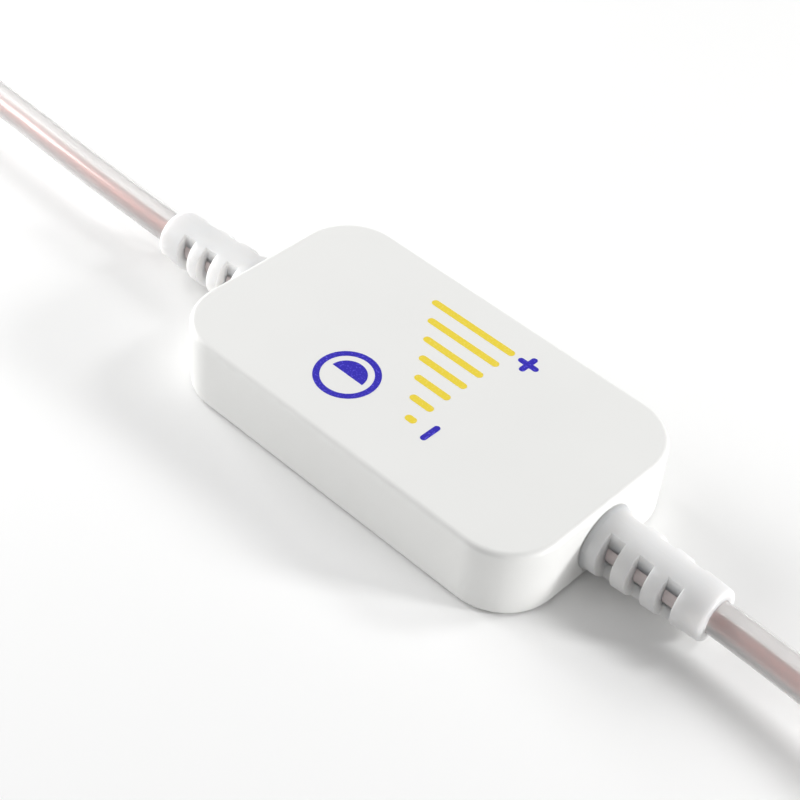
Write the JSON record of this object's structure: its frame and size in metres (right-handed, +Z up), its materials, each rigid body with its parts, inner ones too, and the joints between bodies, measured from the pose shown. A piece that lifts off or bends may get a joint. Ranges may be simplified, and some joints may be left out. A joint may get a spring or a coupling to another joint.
{
  "type": "inline touch dimmer",
  "caption": "Inline low-voltage dimmer: a rounded white box whose whole cover is pressed, with a strain relief and a clear two-core lead at each end.",
  "frame": {"origin": "centre of the housing's footprint, on the table under the rubber feet", "axes": "+X along the leads towards the output, +Y across the housing, +Z up through the cover"},
  "size_m": [0.3645, 0.04, 0.0126],
  "materials": {
    "white_housing_plastic": "fine satin",
    "white_soft_pvc": "satin",
    "grey_rubber": "matte",
    "white_nylon": "satin",
    "zinc_plated_steel": "plated",
    "spring_steel": "drawn wire",
    "solder_mask": "gloss",
    "black_moulded_plastic": "fine",
    "stamped_steel": "brushed",
    "chip_epoxy": "fine matte",
    "aluminium_can": "drawn",
    "tan_ceramic": "fired",
    "resistor_glaze": "glazed",
    "bare_copper_strand": "stranded",
    "tinned_copper_strand": "stranded",
    "clear_pvc_jacket": "glossy clear",
    "nickel_plate": "polished",
    "black_insulator": "fine",
    "tinned_metal": "plated"
  },
  "bodies": {
    "base": {"base_plate": "white_housing_plastic", "rubber_feet": "grey_rubber", "output_strain_relief": "white_soft_pvc", "input_strain_relief": "white_soft_pvc", "output_cord_clamp": "white_nylon", "input_cord_clamp": "white_nylon", "clamp_screws": "zinc_plated_steel", "return_springs": "spring_steel", "circuit_board": "solder_mask", "board_screws": "zinc_plated_steel", "switch_case": "black_moulded_plastic", "switch_top_plate": "stamped_steel", "switch_dome": "stamped_steel", "switch_terminals": "tinned_metal", "controller_chip": "chip_epoxy", "controller_pins": "tinned_metal", "power_transistor": "chip_epoxy", "transistor_leads": "tinned_metal", "voltage_regulator": "chip_epoxy", "regulator_leads": "tinned_metal", "protection_diode": "chip_epoxy", "diode_tabs": "tinned_metal", "capacitor_base": "black_moulded_plastic", "storage_capacitor": "aluminium_can", "ceramic_capacitors": "tan_ceramic", "chip_resistors": "resistor_glaze", "chip_end_caps": "tinned_metal", "output_copper_core": "bare_copper_strand", "output_silver_core": "tinned_copper_strand", "input_copper_core": "bare_copper_strand", "input_silver_core": "tinned_copper_strand", "solder_joints": "tinned_metal", "output_jacket_end": "clear_pvc_jacket", "input_jacket_end": "clear_pvc_jacket", "output_lead": "clear_pvc_jacket", "input_lead": "clear_pvc_jacket", "plug_body": "white_soft_pvc", "plug_barrel": "nickel_plate", "plug_insulator": "black_insulator", "plug_contact": "nickel_plate", "socket_body": "white_soft_pvc", "socket_insert": "black_insulator", "socket_pin": "nickel_plate", "socket_contact": "nickel_plate"},
    "cover": {"cover_shell": "white_housing_plastic"},
    "plunger": {"switch_plunger": "black_moulded_plastic"}
  },
  "joints": [
    {"name": "cover_press", "type": "slide", "parent": "base", "child": "cover", "axis": [0, 0, -1], "range_m": [0, 0.00025], "stiffness_N_per_m": 2400, "springref_m": -0.0005, "deforming": ["return_springs"]},
    {"name": "plunger_press", "type": "slide", "parent": "base", "child": "plunger", "axis": [0, 0, -1], "range_m": [0, 0.00025], "deforming": ["switch_dome"]}
  ],
  "couplings": [
    {"joint": "plunger_press", "follows": "cover_press", "ratio": 1}
  ]
}
